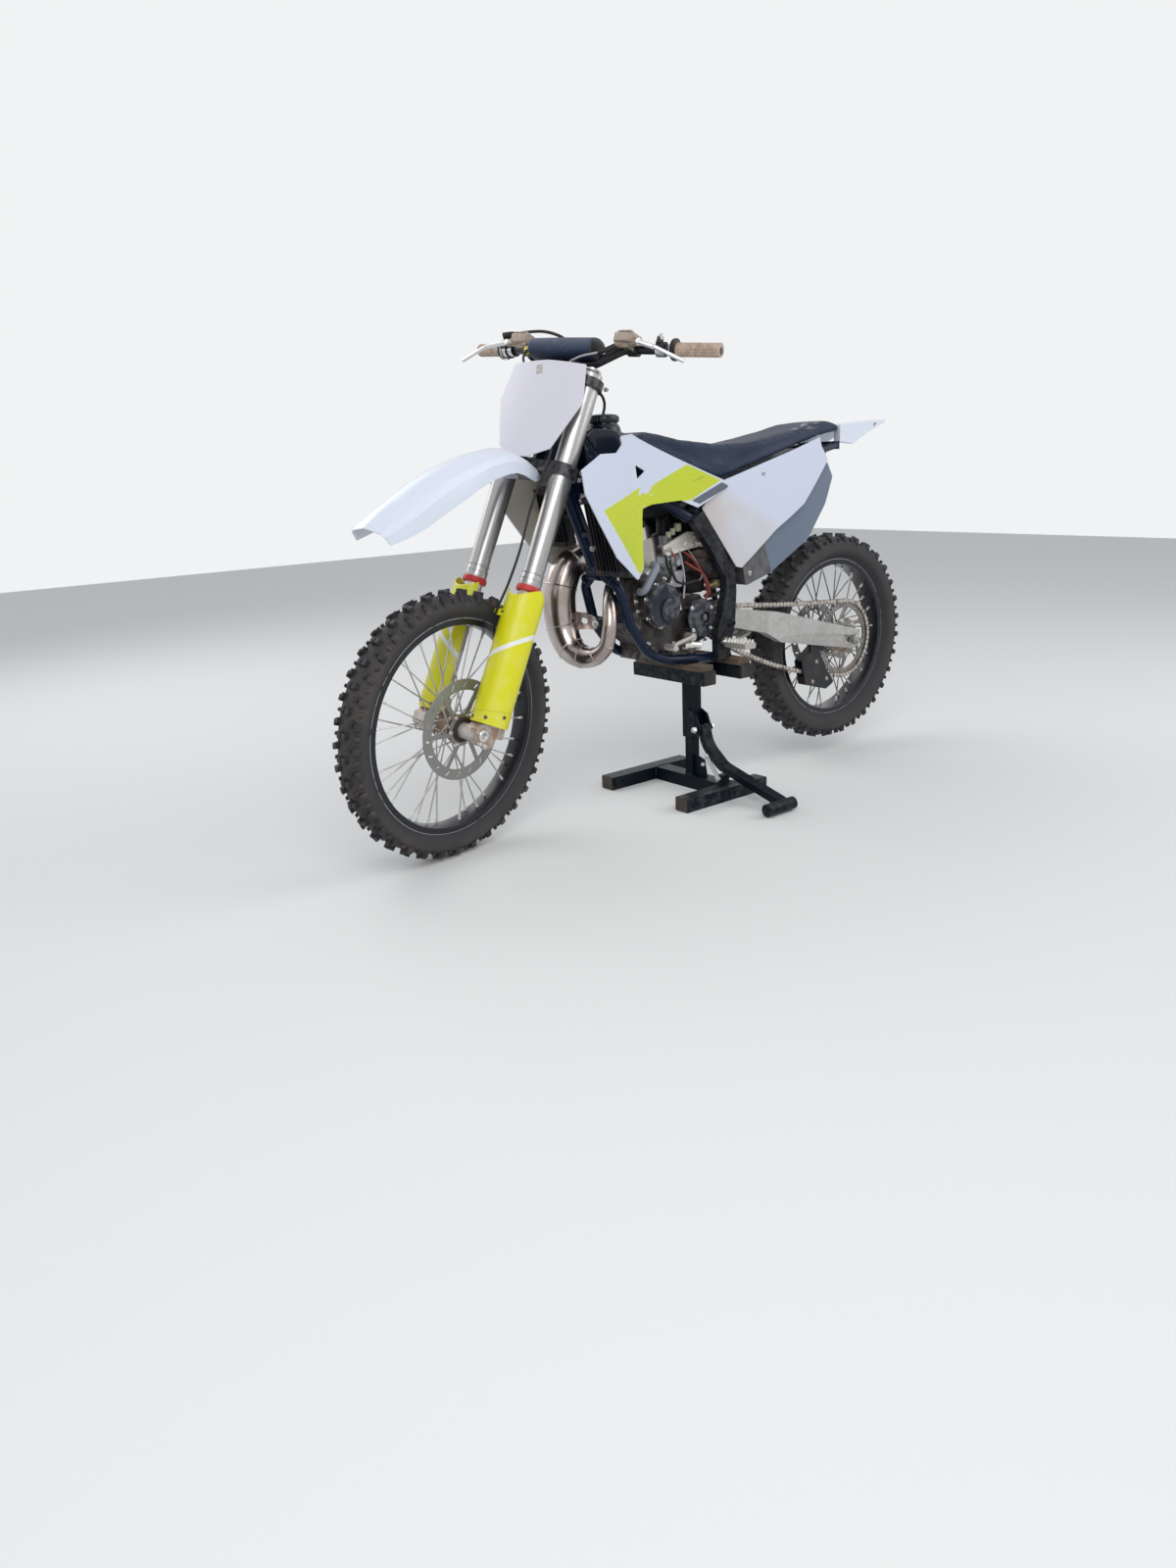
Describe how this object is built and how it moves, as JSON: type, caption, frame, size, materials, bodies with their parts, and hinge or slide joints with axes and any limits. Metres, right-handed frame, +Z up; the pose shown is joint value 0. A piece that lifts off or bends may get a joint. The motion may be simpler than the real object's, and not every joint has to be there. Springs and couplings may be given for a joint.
{
  "type": "motocross bike on a lift stand",
  "caption": "Two-stroke motocross bike with knobbly tyres, long-travel fork and plastic bodywork, held by its frame on a lever-operated lift stand.",
  "frame": {"origin": "on the floor under the lift stand's column, in the bike's centre plane", "axes": "+X towards the front wheel, +Y to the rider's left, +Z up"},
  "size_m": [2.1625, 0.8055, 1.3101],
  "materials": {
    "stand_paint": "satin",
    "frame_paint": "satin",
    "cast_alloy": "satin",
    "fork_alloy": "satin",
    "clamp_alloy": "satin",
    "rim_alloy": "satin",
    "steel": "satin",
    "dark_steel": "matte",
    "pipe_steel": "satin",
    "engine_cover": "satin",
    "white_plastic": "gloss",
    "yellow_plastic": "gloss",
    "black_plastic": "matte",
    "grey_plastic": "matte",
    "radiator_core": "satin",
    "rubber": "matte",
    "grip_rubber": "matte",
    "seat_cover": "matte",
    "pad_cover": "matte",
    "tyre": "matte",
    "hose_rubber": "satin"
  },
  "bodies": {
    "chassis": {"stand_base": "stand_paint", "stand_platform": "stand_paint", "stand_pads": "rubber", "stand_lever": "stand_paint", "stand_links": "steel", "frame_spine": "frame_paint", "frame_cradle": "frame_paint", "frame_uprights": "frame_paint", "frame_spars": "frame_paint", "swingarm": "cast_alloy", "rear_axle": "steel", "chain": "dark_steel", "front_sprocket": "steel", "chain_guide": "black_plastic", "shock": "steel", "engine_cases": "cast_alloy", "engine_covers": "engine_cover", "cylinder": "cast_alloy", "carburettor": "cast_alloy", "coolant_hose": "hose_rubber", "exhaust_chamber": "pipe_steel", "silencer": "cast_alloy", "fuel_tank": "black_plastic", "radiators": "radiator_core", "shroud_left": "white_plastic", "shroud_right": "white_plastic", "side_panel_left": "white_plastic", "side_panel_right": "white_plastic", "airbox": "grey_plastic", "intake_boot": "rubber", "seat": "seat_cover", "rear_fender": "white_plastic", "subframe": "frame_paint", "footpegs": "steel", "gear_lever": "cast_alloy", "brake_pedal": "cast_alloy", "kick_starter": "cast_alloy", "rear_brake": "cast_alloy"},
    "steering": {"triple_clamps": "clamp_alloy", "fork_outer_tubes": "fork_alloy", "fork_legs": "cast_alloy", "fork_guards": "yellow_plastic", "handlebar": "clamp_alloy", "bar_pad": "pad_cover", "grips": "grip_rubber", "bar_controls": "clamp_alloy", "front_fender": "white_plastic", "number_plate": "white_plastic", "front_brake": "cast_alloy", "front_axle": "steel"},
    "front_wheel": {"front_tyre": "tyre", "front_rim": "rim_alloy", "front_spokes": "steel", "front_hub": "cast_alloy"},
    "rear_wheel": {"rear_tyre": "tyre", "rear_rim": "rim_alloy", "rear_spokes": "dark_steel", "rear_hub": "cast_alloy", "rear_sprocket": "steel"}
  },
  "joints": [
    {"name": "steering_turn", "type": "hinge", "parent": "chassis", "child": "steering", "pos_m": [0.81232, 0, 0.32371], "axis": [-0.4104, 0, 0.9119], "range_deg": [-53.7, 30.3]},
    {"name": "front_wheel_spin", "type": "hinge", "parent": "steering", "child": "front_wheel", "pos_m": [0.86322, 0.01156, 0.34661], "axis": [-0.1849, 0.9792, -0.0832], "continuous": true},
    {"name": "rear_wheel_spin", "type": "hinge", "parent": "chassis", "child": "rear_wheel", "pos_m": [-0.62, 0, 0.385], "axis": [0, 1, 0], "continuous": true}
  ]
}
